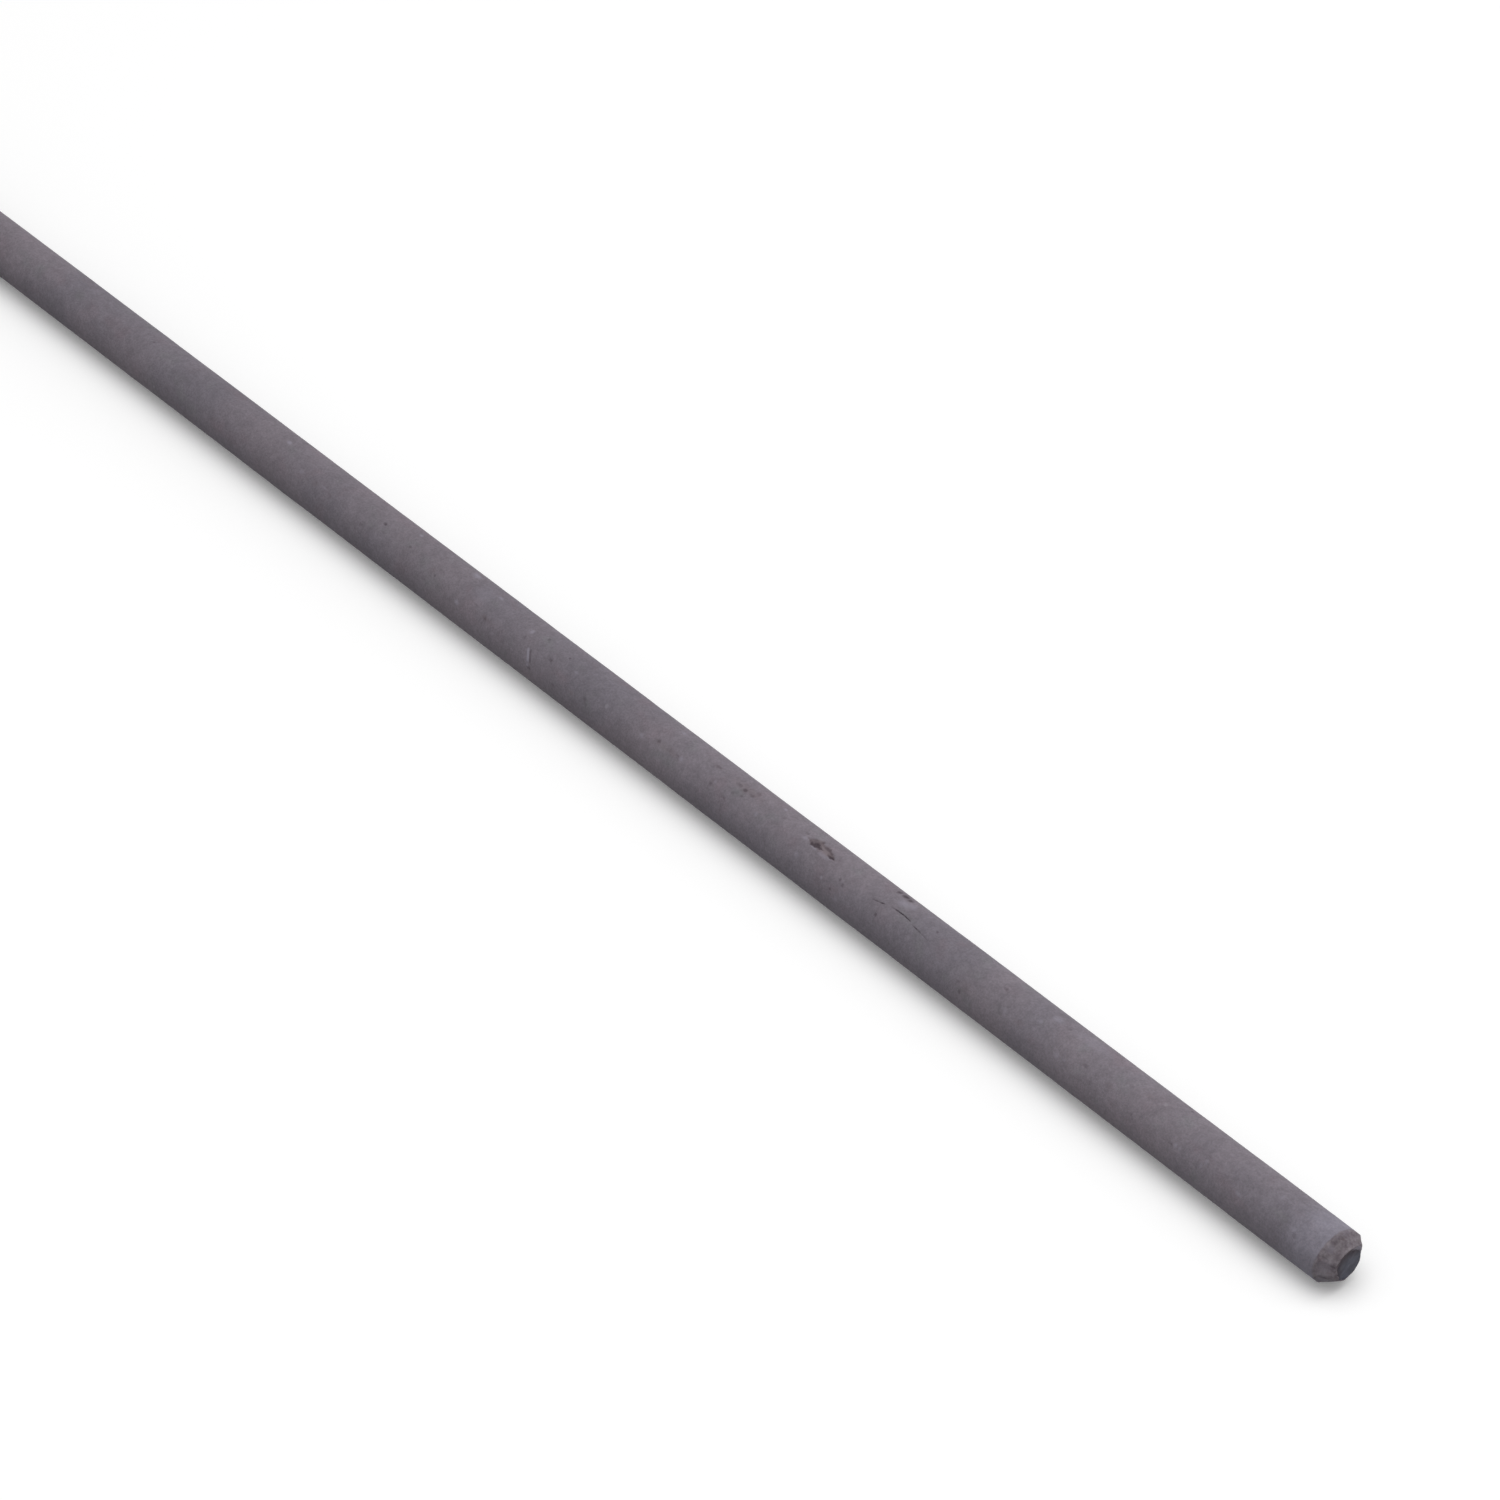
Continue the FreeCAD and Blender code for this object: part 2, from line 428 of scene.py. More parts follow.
def grid_mesh(name, rows, masks, closed_ends):
    """A tube mesh from rows of points. It closes on itself, or with a point at both ends."""
    row_count, column_count = rows.shape[:2]
    index = np.arange(row_count * column_count).reshape(row_count, column_count)
    lower = index if not closed_ends else index[:-1]
    upper = np.roll(index, -1, axis=0) if not closed_ends else index[1:]
    quads = np.stack([lower, upper, np.roll(upper, -1, axis=1), np.roll(lower, -1, axis=1)], axis=-1)
    faces = quads.reshape(-1, 4).tolist()
    points = rows.reshape(-1, 3)
    if closed_ends:
        first, last = len(points), len(points) + 1
        points = np.vstack([points, rows[0].mean(axis=0), rows[-1].mean(axis=0)])
        faces += [(first, int(a), int(b)) for a, b in zip(index[0], np.roll(index[0], -1))]
        faces += [(last, int(b), int(a)) for a, b in zip(index[-1], np.roll(index[-1], -1))]
    mesh = bpy.data.meshes.new(name)
    mesh.from_pydata((points * MM).tolist(), [], faces)
    mesh.polygons.foreach_set("use_smooth", [True] * len(mesh.polygons))
    mesh.set_sharp_from_angle(angle=math.radians(48))
    for mask, colours in masks.items():
        values = np.ones((len(points), 4))
        values[: row_count * column_count, :3] = colours.reshape(-1, 3)
        if closed_ends:
            values[-2:, :3] = colours[0].mean(axis=0), colours[-1].mean(axis=0)
        layer = mesh.attributes.new(mask, "FLOAT_COLOR", "POINT")
        layer.data.foreach_set("color", values.ravel())
    mesh.validate()
    piece = bpy.data.objects.new(name, mesh)
    bpy.context.scene.collection.objects.link(piece)
    return piece


def follow_crack(x, angle, crack_angle):
    """Bends the mesh's columns so that one of them runs along the crack."""
    from_tip = END_MIDDLE_X - x
    first, last = CRACK[0][0], CRACK[-1][0]
    line = np.interp(from_tip, [point[0] for point in CRACK], [point[1] for point in CRACK])
    near = smooth(from_tip, first - 4.0, first) * (1 - smooth(from_tip, last, last + 4.0))
    away = np.abs(angle_between(angle, crack_angle))
    return angle + (line - crack_angle) * near * (1 - smooth(away, 3.0, CRACK_SWAY))


class CoatingSkin:
    """The coating's outer surface, ring by ring, which wears and gets its marks and painted light
    step by step.
    """

    def __init__(self):
        angles, crack_angle = coating_angles()
        x, angle = np.meshgrid(coating_rings(), angles, indexing="ij")
        self.angle = follow_crack(x, angle, crack_angle)
        self.x = draw_back(x, self.angle)
        self.from_tip = END_MIDDLE_X - self.x
        self.radius = cut_flats(self.x, self.angle, coating_outline(self.x))
        points = surface_points(self.x, self.angle, self.radius)
        self.slow = lumps(points, 14.0, 2, 1)
        self.medium = lumps(points, 2.4, 3, 2)
        self.rough = lumps(points, 0.55, 4, 3)
        self.ragged = lumps(points, 1.3, 3, 4)
        self.gritty = lumps(points, 0.32, 3, 5)
        self.pale = np.zeros_like(self.x)
        self.dark = np.zeros_like(self.x)
        self.brown = np.zeros_like(self.x)

    def away_from(self, place):
        """How far each point is from the middle of a mark, where 1 is the mark's edge."""
        from_tip, at_angle, length, width = place
        along = (self.x - (END_MIDDLE_X - from_tip)) / (length / 2)
        across = np.radians(angle_between(self.angle, at_angle)) * self.radius / (width / 2)
        return np.sqrt(along**2 + across**2)

    def beside(self, line):
        """How far round the rod each point is from a line, and how far past the line's ends."""
        line = np.array(line)
        at_angle = np.interp(self.from_tip, line[:, 0], line[:, 1])
        off = np.radians(angle_between(self.angle, at_angle)) * self.radius
        past_end = np.maximum(line[0, 0] - self.from_tip, self.from_tip - line[-1, 0])
        return off, past_end

    def along(self, line):
        """The last value of a line's points, carried to each ring."""
        return np.interp(self.from_tip, [point[0] for point in line], [point[-1] for point in line])

    def wear_ends(self):
        """Grinds the nose, brushes the grip's end, leaves the coating slightly uneven and paints a
        highlight past the nose.
        """
        line = np.array(NOSE_EDGE)
        nose_edge = np.interp(self.angle, line[:, 0], line[:, 1])
        nose_edge = nose_edge + 0.09 * self.ragged + 0.04 * self.gritty
        softness = 0.08 + 0.16 * smooth(self.angle, 50.0, 90.0)
        ground = 1 - smooth(self.from_tip, nose_edge - softness, nose_edge + softness)
        flattened = smooth(COATING_R - self.radius, 0.05, 0.14) * (self.x > NOSE_ZONE)
        self.ground = np.maximum(ground, flattened)
        rubbed = 1 - smooth(self.from_tip, nose_edge - 0.45, nose_edge + 0.30)
        taper_end = GRIP_LENGTH + BRUSHED_TAPER
        self.brushed = 1 - smooth(self.x, taper_end - 0.8, taper_end + 1.4)

        self.radius = self.radius + 0.018 * self.slow - 0.018 + 0.008 * self.medium
        self.radius += self.ground * (0.045 * self.rough - 0.01) - 0.035 * rubbed
        self.radius += self.brushed * (0.02 * self.rough - 0.015)

        # Painted highlight: a pale band on the coating just past the ground nose, where its edge
        # would catch the light.
        shoulder_highlight = smooth(nose_edge - self.from_tip, -0.6, -0.15) * (1 - smooth(self.ground, 0.0, 0.4))
        self.pale = 0.3 * shoulder_highlight * np.clip(0.6 + self.ragged, 0, 1)

    def open_pits(self):
        for *place, depth in PITS:
            edge = self.away_from(place) + 0.35 * self.rough
            hollow = 1 - smooth(edge, 0.25, 1.1)
            self.radius -= depth * hollow
            # Painted shade: each pit is darkened in step with its depth.
            self.dark = np.maximum(self.dark, 7.5 * depth * hollow)

    def open_gouge(self):
        off, past_end = self.beside(GOUGE)
        edge = np.abs(off) / self.along(GOUGE) + 0.6 * self.gritty + 0.2 * self.rough
        edge += 3.0 * np.maximum(past_end, 0)
        hollow = 1 - smooth(edge, 0.60, 1.15)
        self.radius -= GOUGE_DEPTH * hollow * (0.8 + 0.4 * self.gritty)
        self.brown = 0.70 * (1 - smooth(edge, 0.75, 1.55))
        for *place, strength in GOUGE_MARKS:
            # Each patch darkens the gouge and sinks it a little.
            edge = self.away_from(place) + 0.45 * self.gritty
            darkened = strength * (1 - smooth(edge, 0.45, 1.25))
            self.dark = np.maximum(self.dark, darkened)
            self.radius -= 0.05 * darkened

    def open_crack(self):
        off, past_end = self.beside(CRACK)
        half_width = math.radians(CRACK_HALF_WIDTH) * COATING_R
        in_crack = (past_end < 0) * (1 - smooth(np.abs(off) / half_width, 0.15, 1.0))
        depth = self.along(CRACK) * np.clip(0.9 + 0.9 * self.gritty, 0.3, 1.2)
        self.radius -= in_crack * depth
        # Painted shade: the crack is darkened in step with its depth.
        self.dark = np.maximum(self.dark, in_crack * np.minimum(1.0, depth / 0.10))

    def add_marks(self):
        for *place, strength in DARK_MARKS:
            edge = self.away_from(place) + 0.25 * self.rough
            spot = 1 - smooth(edge, 0.35, 1.30)
            self.dark = np.maximum(self.dark, strength * spot)
            self.radius -= 0.03 * strength * spot
        for *place, strength in RUSTY_MARKS:
            edge = self.away_from(place) + 0.5 * self.rough
            self.brown = np.maximum(self.brown, strength * (1 - smooth(edge, 0.2, 1.4)))
        for *place, strength in PALE_MARKS_AND_PAINTED_LIGHT:
            edge = self.away_from(place) + 0.35 * self.rough
            self.pale = np.maximum(self.pale, strength * (1 - smooth(edge, 0.3, 1.4)))

    def add_scrape(self):
        """A pale line round the rod, with the shadow of its edge beside it."""
        line = np.array(SCRAPE)
        first, last = line[0, 1], line[-1, 1]
        off = self.from_tip - np.interp(self.angle, line[:, 1], line[:, 0])
        held = smooth(self.angle, first - 2, first + 3)
        held = held * (1 - smooth(self.angle, last - 3, last + 2))
        scraped = held * (1 - smooth(np.abs(off) / SCRAPE_HALF_WIDTH, 0.6, 1.4))
        shadow = held * (1 - smooth(np.abs(off + 0.34) / SCRAPE_HALF_WIDTH, 0.3, 1.4))
        self.pale = np.maximum(self.pale, 0.9 * scraped)
        self.dark = np.maximum(self.dark, 0.5 * shadow)
        self.radius -= 0.03 * shadow

    def masks(self):
        """What colours each point: its marks and painted light, and the zone in which it lies."""
        near_tip = smooth(self.x, TIP_X - 8.0, TIP_X - 3.0) * (1 - self.ground)
        near_tip *= 0.62 + 0.38 * smooth(np.abs(angle_between(self.angle, 10.0)), 70.0, 105.0)
        marks = np.stack([self.pale, self.dark, self.brown], axis=-1)
        zones = np.stack([self.ground, self.brushed, near_tip], axis=-1)
        return marks, zones


def coating_rim(last_ring, angle):
    """Rows across the slanted end and down to the wire, with their marks and painted light.

    The skin's last ring, from which they start, is drawn back a little, which breaks its edge.
    """
    end_radius = np.hypot(last_ring[:, 1], last_ring[:, 2])
    ragged = lumps(last_ring, 0.6, 3, 7)
    last_ring[:, 0] -= 0.02 + 0.03 * np.abs(ragged)
    slumped_side = on_side(angle, 110.0, 14.0, 46.0)
    # Soot and painted shade on the rim's upper near side, and a painted highlight on its upper far
    # side.
    soot_and_shade_side = on_side(angle, 26.0, 22.0, 50.0)
    highlit_side = on_side(angle, -50.0, 22.0, 48.0)
    inner = WIRE_R + 0.04 - 0.06 * smooth(ragged, -0.3, 0.5) - 0.30 * slumped_side

    rows = []
    for share, back in ((0.35, 0.0), (0.7, 0.0), (0.95, 0.01), (1.0, 0.03)):
        radius = end_radius + (inner - end_radius) * share
        rows.append(surface_points(rim_plane(radius, angle) - back, angle, radius))
    bore = np.full_like(inner, WIRE_R)
    for radius, under_face in ((inner - 0.05, 0.05), (bore, 0.08)):
        x = end_plane(radius, angle) - WIRE_RECESS - under_face
        rows.append(surface_points(x, angle, radius))
    marks = np.zeros((len(rows), len(angle), 3))
    # A painted highlight on the upper far side, soot and painted shade on the upper near side, and
    # painted shade on the slumped flux.
    marks[..., 0] = 0.8 * highlit_side
    marks[..., 1] = np.maximum(0.9 * soot_and_shade_side, 0.35 * slumped_side)
    return np.stack(rows), marks


def all_in_zone(rows, zone):
    """The masks of rows that lie wholly in one zone, given by its place in the mask."""
    masks = np.zeros_like(rows)
    masks[..., zone] = 1.0
    return masks


def make_coating():
    """The flux coating: its worn outer surface, ragged nose end, bore and brushed lip."""
    skin = CoatingSkin()
    skin.wear_ends()
    skin.open_pits()
    skin.open_gouge()
    skin.open_crack()
    skin.add_marks()
    skin.add_scrape()
    outer = surface_points(skin.x, skin.angle, skin.radius)
    marks, zones = skin.masks()

    rim, rim_marks_and_painted_light = coating_rim(outer[-1], skin.angle[-1])
    bore_x = spaced(GRIP_LENGTH, WIRE_END - 1.0, 8.0)[::-1]
    x, angle = np.meshgrid(bore_x, skin.angle[0], indexing="ij")
    bore = surface_points(x, angle, np.full_like(x, WIRE_R))
    masks = {
        "marks": np.concatenate([marks, rim_marks_and_painted_light, np.zeros_like(bore)]),
        "zones": np.concatenate([zones, all_in_zone(rim, 0), all_in_zone(bore, 1)]),
    }
    rows = np.concatenate([outer, rim, bore])
    return grid_mesh("flux_coating_skin", rows, masks, closed_ends=False)


def wire_profile():
    """The wire's half section as (x, radius), from the middle of its cut end to its face."""
    grip_r = WIRE_R - BRUSHED_DEPTH
    blend_start = GRIP_LENGTH - BRUSHED_BLEND
    profile = [(0.0, share * (grip_r - CUT_EDGE)) for share in (0.12, 0.3, 0.5, 0.7, 0.85, 0.96)]
    profile += [(0.015, grip_r - CUT_EDGE * 0.9), (CUT_EDGE * 0.5, grip_r - CUT_EDGE * 0.42)]
    profile += [(CUT_EDGE * 0.9, grip_r - 0.02)]
    profile += [(x, grip_r) for x in spaced(CUT_EDGE + 0.05, blend_start, 0.3)]
    profile += [(blend_start, grip_r), (GRIP_LENGTH, WIRE_R)]
    profile += [(x, WIRE_R) for x in spaced(GRIP_LENGTH + 1.0, WIRE_END, 8.0)]
    face_shares = (1.0, 0.97, 0.9, 0.78, 0.64, 0.5, 0.36, 0.22, 0.1)
    profile += [(WIRE_END, share * WIRE_R) for share in face_shares]
    return profile


def make_wire():
    """The core wire: cut end, brushed grip, hidden length and the bare face at the tip."""
    angles = np.array(spaced(0.0, 360.0, 4.5))
    x, radius = (np.array(values)[:, None] * np.ones(len(angles)) for values in zip(*wire_profile()))
    angle = np.ones_like(x) * angles
    points = surface_points(x, angle, radius)
    on_face = (x >= WIRE_END - 1e-6).astype(float)
    on_grip = (x < GRIP_LENGTH).astype(float)
    relief = lumps(points, 0.9, 4, 11)
    dents = lumps(points, 1.6, 2, 12)
    inside = 1 - smooth(radius, 0.97 * WIRE_R, WIRE_R)
    points[..., 0] += on_face * (end_plane(radius, angle) - WIRE_RECESS - WIRE_END)
    points[..., 0] += on_face * inside * (0.035 * relief - 0.01)
    points[..., 0] += (x <= 0.0) * 0.02 * np.abs(relief)
    scale = 1 - on_grip * (x > CUT_EDGE) * 0.004 * np.clip(dents, 0, 1)
    points[..., 1:] *= scale[..., None]
    face = smooth(x, WIRE_END - 0.4, WIRE_END)
    upper_side = on_side(angle, 38.0, 70.0, 125.0)
    # Soot and painted shade: the face darkens towards its upper edge, where the coating's rim would
    # shade it.
    soot_and_shade = face * 0.85 * smooth(radius / WIRE_R + 0.12 * relief, 0.10, 1.0) * upper_side
    dust = 0.8 * smooth(x + 0.8 * relief, GRIP_LENGTH - 2.2, GRIP_LENGTH) * (x <= GRIP_LENGTH)
    masks = {
        "zones": np.stack([face, on_grip, np.zeros_like(x)], axis=-1),
        "marks": np.stack([dust, soot_and_shade, np.zeros_like(x)], axis=-1),
    }
    return grid_mesh("core_wire_drawn", points, masks, closed_ends=True)


class Surface:
    """A node material that is built up by calls, each of which returns its output socket."""

    def __init__(self, name):
        self.material = bpy.data.materials.new(name)
        self.material.use_nodes = True
        self.tree = self.material.node_tree
        self.shader = self.tree.nodes["Principled BSDF"]

    def add(self, kind, sockets=(), **settings):
        made = self.tree.nodes.new(kind)
        for key, value in settings.items():
            setattr(made, key, value)
        for socket, value in dict(sockets).items():
            self.put(made.inputs[socket], value)
        return made

    def put(self, socket, value):
        if isinstance(value, bpy.types.NodeSocket):
            self.tree.links.new(value, socket)
        else:
            socket.default_value = value

    def place(self):
        """Object coordinates in millimetres, which stay with the piece."""
        where = self.add("ShaderNodeTexCoord").outputs["Object"]
        return self.add(
            "ShaderNodeVectorMath", {0: where, 3: 1 / MM}, operation="SCALE"
        ).outputs["Vector"]

    def stretch(self, where, factors):
        return self.add(
            "ShaderNodeVectorMath", {0: where, 1: factors}, operation="MULTIPLY"
        ).outputs["Vector"]

    def noise(self, where, size, detail=3.0, roughness=0.55):
        """Noise of 0 to 1 whose largest lumps are of the given size in millimetres."""
        sockets = {"Vector": where, "Scale": 1 / size, "Detail": detail, "Roughness": roughness}
        return self.add("ShaderNodeTexNoise", sockets).outputs["Fac"]

    def fit(self, value, low, high, to_low=0.0, to_high=1.0):
        """The value with low to high taken to new limits, and held there."""
        sockets = {0: value, 1: low, 2: high, 3: to_low, 4: to_high}
        return self.add("ShaderNodeMapRange", sockets, interpolation_type="SMOOTHSTEP").outputs[0]

    def math(self, operation, a, b=0.0):
        return self.add("ShaderNodeMath", {0: a, 1: b}, operation=operation).outputs[0]

    def blend(self, share, a, b, blend_type="MIX"):
        made = self.add("ShaderNodeMix", data_type="RGBA", blend_type=blend_type)
        for socket, value in ((0, share), (6, a), (7, b)):
            self.put(made.inputs[socket], value)
        return made.outputs[2]

    def scale(self, colour, shade):
        """The colour made darker or lighter by a number of about 1."""
        factor = self.add("ShaderNodeCombineColor", {0: shade, 1: shade, 2: shade}).outputs[0]
        return self.blend(1.0, colour, factor, "MULTIPLY")

    def mask(self, name):
        """The three masks of a mesh attribute."""
        colour = self.add("ShaderNodeAttribute", attribute_name=name).outputs["Color"]
        return self.add("ShaderNodeSeparateColor", {0: colour}).outputs

    def specks(self, where, size, reach, share):
        """Small separate spots of 0 to 1: one cell in some has one, of up to the given reach."""
        cell = self.add(
            "ShaderNodeTexVoronoi", {"Vector": where, "Scale": 1 / size, "Randomness": 1.0}
        )
        chance = self.add("ShaderNodeSeparateColor", {0: cell.outputs["Color"]}).outputs
        largest = self.math("MULTIPLY", chance[1], reach / size)
        spot = self.math("SUBTRACT", 1.0, self.math("DIVIDE", cell.outputs["Distance"], largest))
        chosen = self.math("LESS_THAN", chance[0], share)
        return self.math("MULTIPLY", self.fit(spot, 0.0, 0.6), chosen)

    def bump(self, height, depth, under=None):
        """A bump of the given depth in millimetres."""
        sockets = {"Height": height, "Distance": depth * MM, "Strength": 1.0}
        if under is not None:
            sockets["Normal"] = under
        return self.add("ShaderNodeBump", sockets).outputs["Normal"]

    def finish(self, **values):
        """Sets the shader's own sockets, named with underscores for spaces."""
        for name, value in values.items():
            self.put(self.shader.inputs[name.replace("_", " ")], value)
        return self.material


def grey(level):
    return (level, level, level, 1.0)


def flux_material():
    """Dry extruded mineral flux: mauve grey, mottled, speckled and finely grained."""
    s = Surface("flux_mineral")
    where = s.place()
    # The pale and dark marks include painted highlights and painted shade.
    pale, dark, brown = s.mask("marks")[0:3]
    ground, brushed, near_tip = s.mask("zones")[0:3]

    broad = s.noise(where, 13.0, 2.0)
    patches = s.noise(where, 4.2, 3.0)
    tints = s.noise(s.stretch(where, (0.7, 1.0, 1.0)), 2.6, 3.0)
    mottle = s.noise(where, 0.9, 4.0, 0.6)
    grain = s.noise(where, 0.22, 4.0, 0.65)

    colour = s.blend(s.fit(broad, 0.35, 0.65), (0.217, 0.191, 0.218, 1), (0.211, 0.191, 0.222, 1))
    colour = s.blend(s.fit(tints, 0.52, 0.75, 0, 0.8), colour, (0.223, 0.187, 0.216, 1))
    colour = s.blend(s.fit(tints, 0.45, 0.27, 0, 0.8), colour, (0.207, 0.195, 0.215, 1))
    bloom = s.math("MULTIPLY", near_tip, s.fit(tints, 0.3, 0.6, 0.55, 1.0))
    colour = s.blend(bloom, colour, (0.298, 0.284, 0.341, 1))

    chalk = s.noise(where, 0.75, 4.0, 0.6)
    blotch = s.noise(where, 1.6, 2.0)
    nose = s.blend(s.fit(chalk, 0.3, 0.7), (0.154, 0.128, 0.146, 1), (0.274, 0.244, 0.266, 1))
    nose = s.blend(s.fit(blotch, 0.55, 0.75, 0, 0.7), nose, (0.250, 0.225, 0.246, 1))
    nose = s.blend(s.fit(blotch, 0.42, 0.25, 0, 0.6), nose, (0.172, 0.132, 0.148, 1))
    colour = s.blend(ground, colour, nose)
    strokes = s.noise(s.stretch(where, (1.0, 0.10, 0.10)), 0.16, 3.0)
    scrubbed = s.blend(s.fit(strokes, 0.3, 0.7), (0.225, 0.206, 0.220, 1), (0.325, 0.303, 0.318, 1))
    colour = s.blend(s.math("MULTIPLY", brushed, 0.9), colour, scrubbed)

    mottled = s.fit(mottle, 0.25, 0.75, 0.895, 1.105)
    shade = s.math("MULTIPLY", mottled, s.fit(grain, 0.3, 0.7, 0.885, 1.115))
    shade = s.math("MULTIPLY", shade, s.fit(patches, 0.3, 0.7, 0.96, 1.04))
    shade = s.math("MULTIPLY", shade, s.fit(broad, 0.68, 0.32, 0.94, 1.06))
    # Painted shade: the coating is made darker away from the tip, as though less light fell there.
    along = s.add("ShaderNodeSeparateXYZ", {0: where}).outputs["X"]
    shade = s.math("MULTIPLY", shade, s.fit(along, 190.0, 320.0, 0.93, 1.03))
    colour = s.scale(colour, shade)

    dots = s.specks(where, 1.5, 0.26, 0.16)
    colour = s.blend(s.math("MULTIPLY", dots, 0.5), colour, (0.085, 0.070, 0.085, 1))
    crumbs = s.specks(s.stretch(where, (1, 1, 1.02)), 1.9, 0.34, 0.14)
    colour = s.blend(s.math("MULTIPLY", crumbs, 0.4), colour, (0.34, 0.32, 0.36, 1))

    rust = s.blend(s.fit(mottle, 0.3, 0.65), (0.135, 0.100, 0.108, 1), (0.220, 0.180, 0.192, 1))
    colour = s.blend(brown, colour, rust)
    colour = s.blend(s.math("MULTIPLY", pale, 0.75), colour, (0.362, 0.340, 0.410, 1))
    colour = s.blend(s.math("MULTIPLY", dark, 0.85), colour, (0.052, 0.037, 0.047, 1))

    grit = s.add("ShaderNodeTexVoronoi", {"Vector": where, "Scale": 1 / 0.13}).outputs["Distance"]
    coarse = s.bump(s.noise(where, 0.8, 3.0), 0.045)
    combed = s.bump(s.math("MULTIPLY", strokes, brushed), 0.03, coarse)
    fine_depth = s.bump(grit, 0.010, s.bump(grain, 0.03, combed))
    return s.finish(
        Base_Color=colour,
        Roughness=s.fit(mottle, 0.3, 0.7, 0.82, 0.94),
        Normal=fine_depth,
        Specular_IOR_Level=0.25,
        Diffuse_Roughness=0.6,
    )


def steel_material():
    """Drawn steel: brushed bright at the grip, dull dark and blue-grey on the face at the tip."""
    s = Surface("wire_steel")
    where = s.place()
    face, grip = s.mask("zones")[0:2]
    dust, soot_and_shade = s.mask("marks")[0:2]
    strokes = s.noise(s.stretch(where, (1.0, 0.08, 0.08)), 0.12, 3.0)
    drawn = s.noise(s.stretch(where, (0.03, 1.0, 1.0)), 0.15, 3.0)
    film = s.noise(where, 0.8, 4.0, 0.6)

    bright = s.blend(s.fit(strokes, 0.3, 0.7), (0.250, 0.246, 0.250, 1), (0.440, 0.434, 0.440, 1))
    bright = s.blend(s.fit(film, 0.50, 0.75, 0, 0.7), bright, (0.165, 0.150, 0.148, 1))
    dusty = s.math("MULTIPLY", dust, s.fit(film, 0.3, 0.6, 0.3, 1.0))
    bright = s.blend(dusty, bright, (0.20, 0.18, 0.20, 1))
    scale = s.blend(s.fit(film, 0.3, 0.7), (0.034, 0.034, 0.053, 1), (0.066, 0.068, 0.098, 1))
    # Soot and painted shade darken the face's upper edge.
    scale = s.blend(soot_and_shade, scale, (0.026, 0.014, 0.022, 1))
    colour = s.blend(face, bright, scale)

    height = s.math("ADD", s.math("MULTIPLY", strokes, grip), s.math("MULTIPLY", drawn, 0.5))
    pitted = s.bump(film, 0.05, s.bump(height, 0.012))
    metallic = s.math("MULTIPLY", s.fit(face, 0.0, 1.0, 1.0, 0.25), s.fit(dust, 0.0, 0.8, 1.0, 0.3))
    return s.finish(
        Base_Color=colour,
        Metallic=s.math("MULTIPLY", metallic, s.fit(soot_and_shade, 0.0, 1.0, 1.0, 0.0)),
        Specular_IOR_Level=s.fit(soot_and_shade, 0.0, 1.0, 0.5, 0.2),
        Roughness=s.blend(face, grey(0.38), grey(0.62)),
        Normal=pitted,
    )


def floor_material():
    """White where it is seen or mirrored, grey to other light, so that it doesn't light the rod."""
    s = Surface("studio_floor")
    distance = s.add("ShaderNodeVectorMath", {0: s.place()}, operation="LENGTH").outputs["Value"]
    rays = s.add("ShaderNodeLightPath").outputs
    seen = s.math("MAXIMUM", rays["Is Camera Ray"], rays["Is Glossy Ray"])
    seen = s.math("MAXIMUM", seen, rays["Is Transmission Ray"])
    return s.finish(
        Base_Color=s.blend(seen, grey(0.18), grey(0.97)),
        Roughness=1.0,
        Specular_IOR_Level=0.0,
        Emission_Color=grey(1.0),
        Emission_Strength=s.math("MULTIPLY", seen, s.fit(distance, 400.0, 1300.0, 0.14, 0.75)),
    )


def dress_wire():
    wire = make_wire()
    wire.data.materials.append(steel_material())
    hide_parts("core_wire")
    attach(wire, "root")


def dress_coating():
    coating = make_coating()
    coating.data.materials.append(flux_material())
    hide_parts("flux_coating")
    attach(coating, "root")


def make_stage():
    """A wide pale floor that the rod lies on."""
    half = 3.0
    top = -COATING_R * MM
    corners = [(-half, -half, top), (half, -half, top), (half, half, top), (-half, half, top)]
    mesh = bpy.data.meshes.new("studio_floor")
    mesh.from_pydata(corners, [], [(0, 1, 2, 3)])
    mesh.materials.append(floor_material())
    floor = bpy.data.objects.new("studio_floor", mesh)
    bpy.context.scene.collection.objects.link(floor)


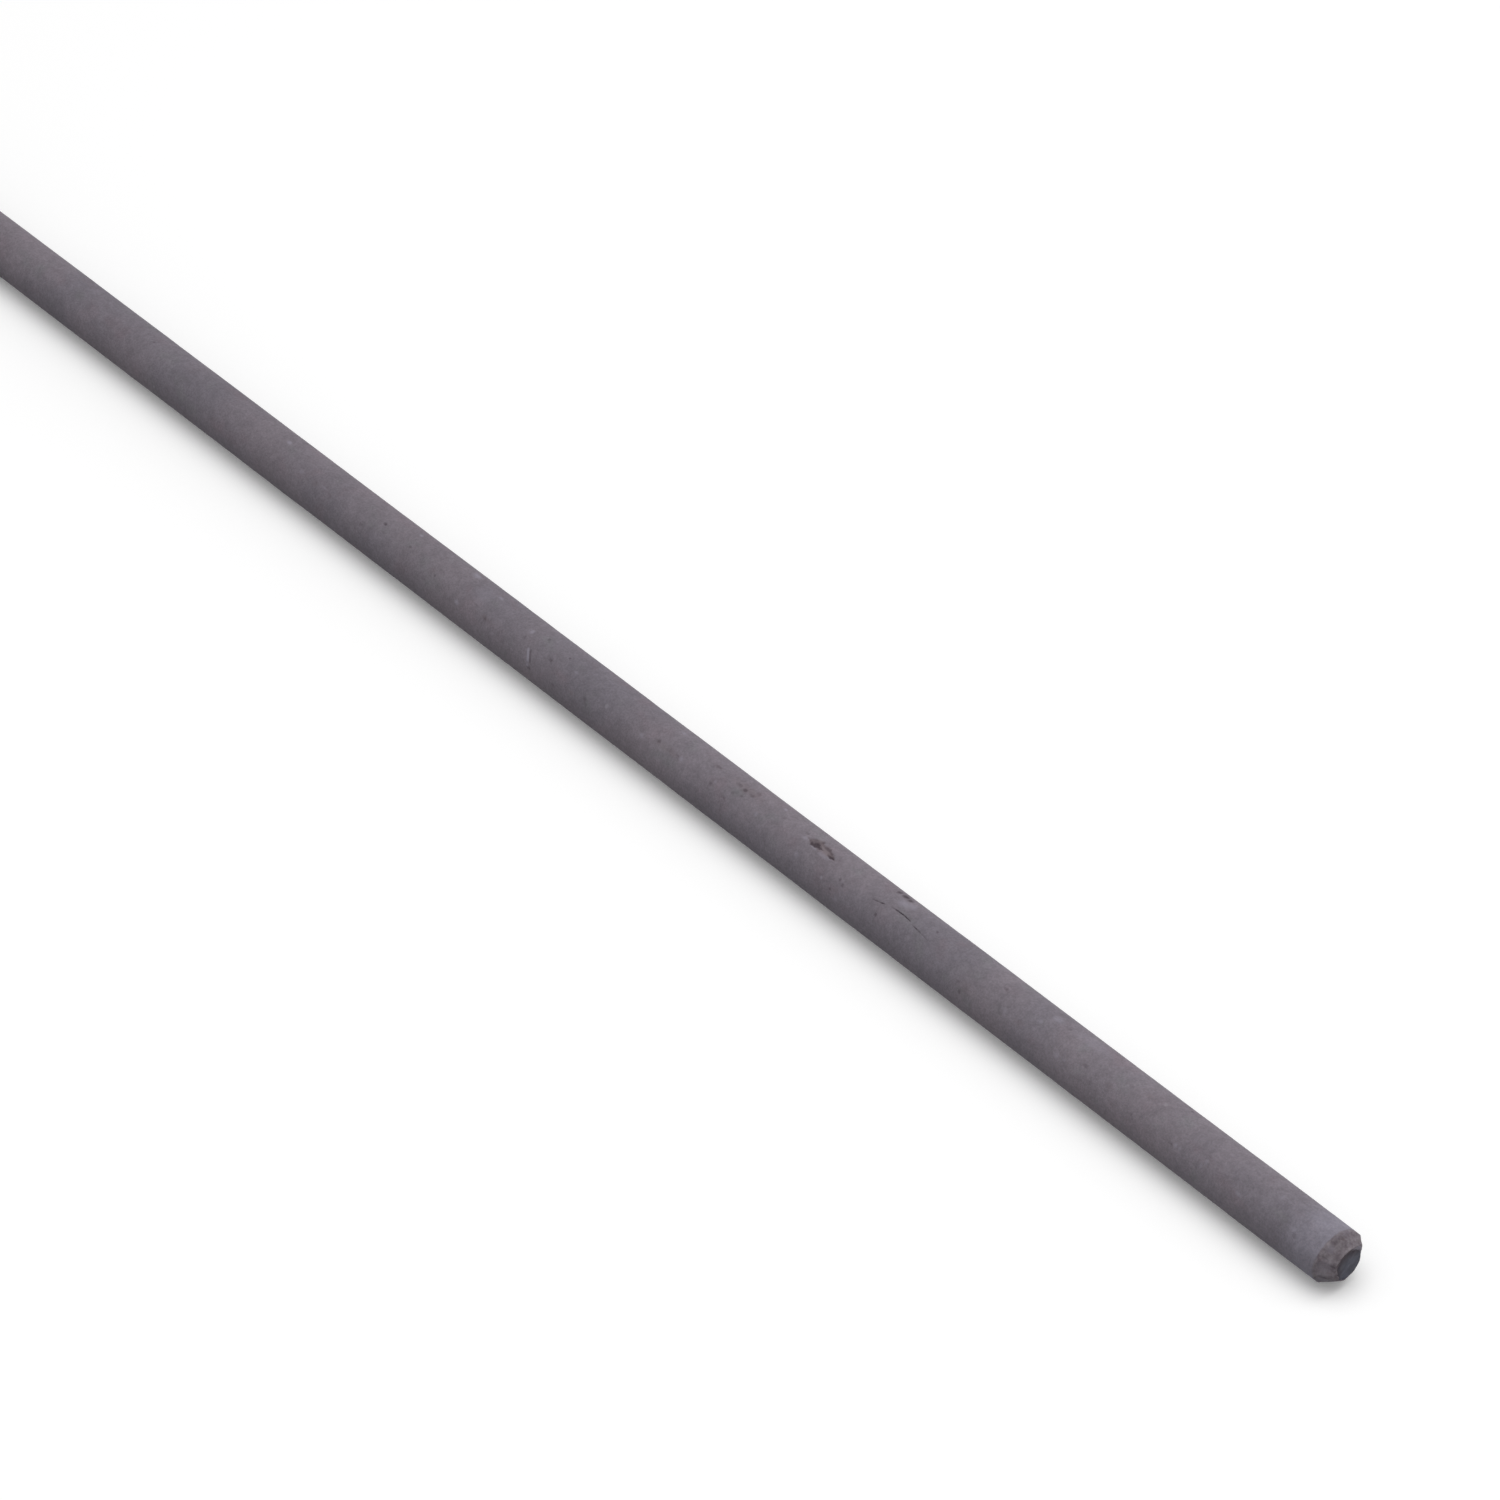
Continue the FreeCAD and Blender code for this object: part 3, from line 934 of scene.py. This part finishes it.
def aim(thing, azimuth, elevation):
    """Turns a camera or lamp to look back along the given direction."""
    a, e = math.radians(azimuth), math.radians(elevation)
    back = Vector((math.sin(a) * math.cos(e), -math.cos(a) * math.cos(e), math.sin(e)))
    thing.rotation_mode = "QUATERNION"
    thing.rotation_quaternion = (-back).to_track_quat("-Z", "Y")
    return back


def add_lamp(name, azimuth, elevation, distance, size, watts):
    """A square soft lamp that faces the rod's tip."""
    data = bpy.data.lights.new(name, "AREA")
    data.size = size
    data.energy = watts
    lamp = bpy.data.objects.new(name, data)
    back = aim(lamp, azimuth, elevation)
    lamp.location = Vector((TIP_X * MM, 0, 0)) + back * distance
    bpy.context.scene.collection.objects.link(lamp)


def light_scene():
    """One large soft lamp above the tip, and a white world that lights less than it shows."""
    add_lamp("high_softbox", azimuth=125.0, elevation=80.5, distance=1.0, size=1.07, watts=5.35)
    ambient = 0.55
    world = bpy.data.worlds.new("soft_world")
    world.use_nodes = True
    tree = world.node_tree
    rays = tree.nodes.new("ShaderNodeLightPath").outputs
    seen = tree.nodes.new("ShaderNodeMath")
    seen.operation = "MAXIMUM"
    tree.links.new(rays["Is Camera Ray"], seen.inputs[0])
    tree.links.new(rays["Is Glossy Ray"], seen.inputs[1])
    strength = tree.nodes.new("ShaderNodeMapRange")
    tree.links.new(seen.outputs[0], strength.inputs[0])
    strength.inputs[3].default_value = ambient
    strength.inputs[4].default_value = 1.0
    background = tree.nodes["Background"]
    background.inputs["Color"].default_value = grey(1.0)
    tree.links.new(strength.outputs[0], background.inputs["Strength"])
    bpy.context.scene.world = world


def place_camera():
    """The photograph's viewpoint, turned and closed in to the stretch of the rod that it shows."""
    data = bpy.data.cameras.new("camera")
    data.sensor_width = 36.0
    data.lens = LENS
    camera = bpy.data.objects.new("camera", data)
    camera.location = CAMERA_PLACE * MM
    ahead = -aim(camera, CAMERA_AZIMUTH, CAMERA_ELEVATION)
    turn = ahead.rotation_difference(TO_FRAME_MIDDLE)
    camera.rotation_quaternion = turn @ camera.rotation_quaternion
    bpy.context.scene.collection.objects.link(camera)
    bpy.context.scene.camera = camera


dress_wire()
dress_coating()
make_stage()
light_scene()
place_camera()
bpy.context.scene.view_settings.view_transform = "Standard"
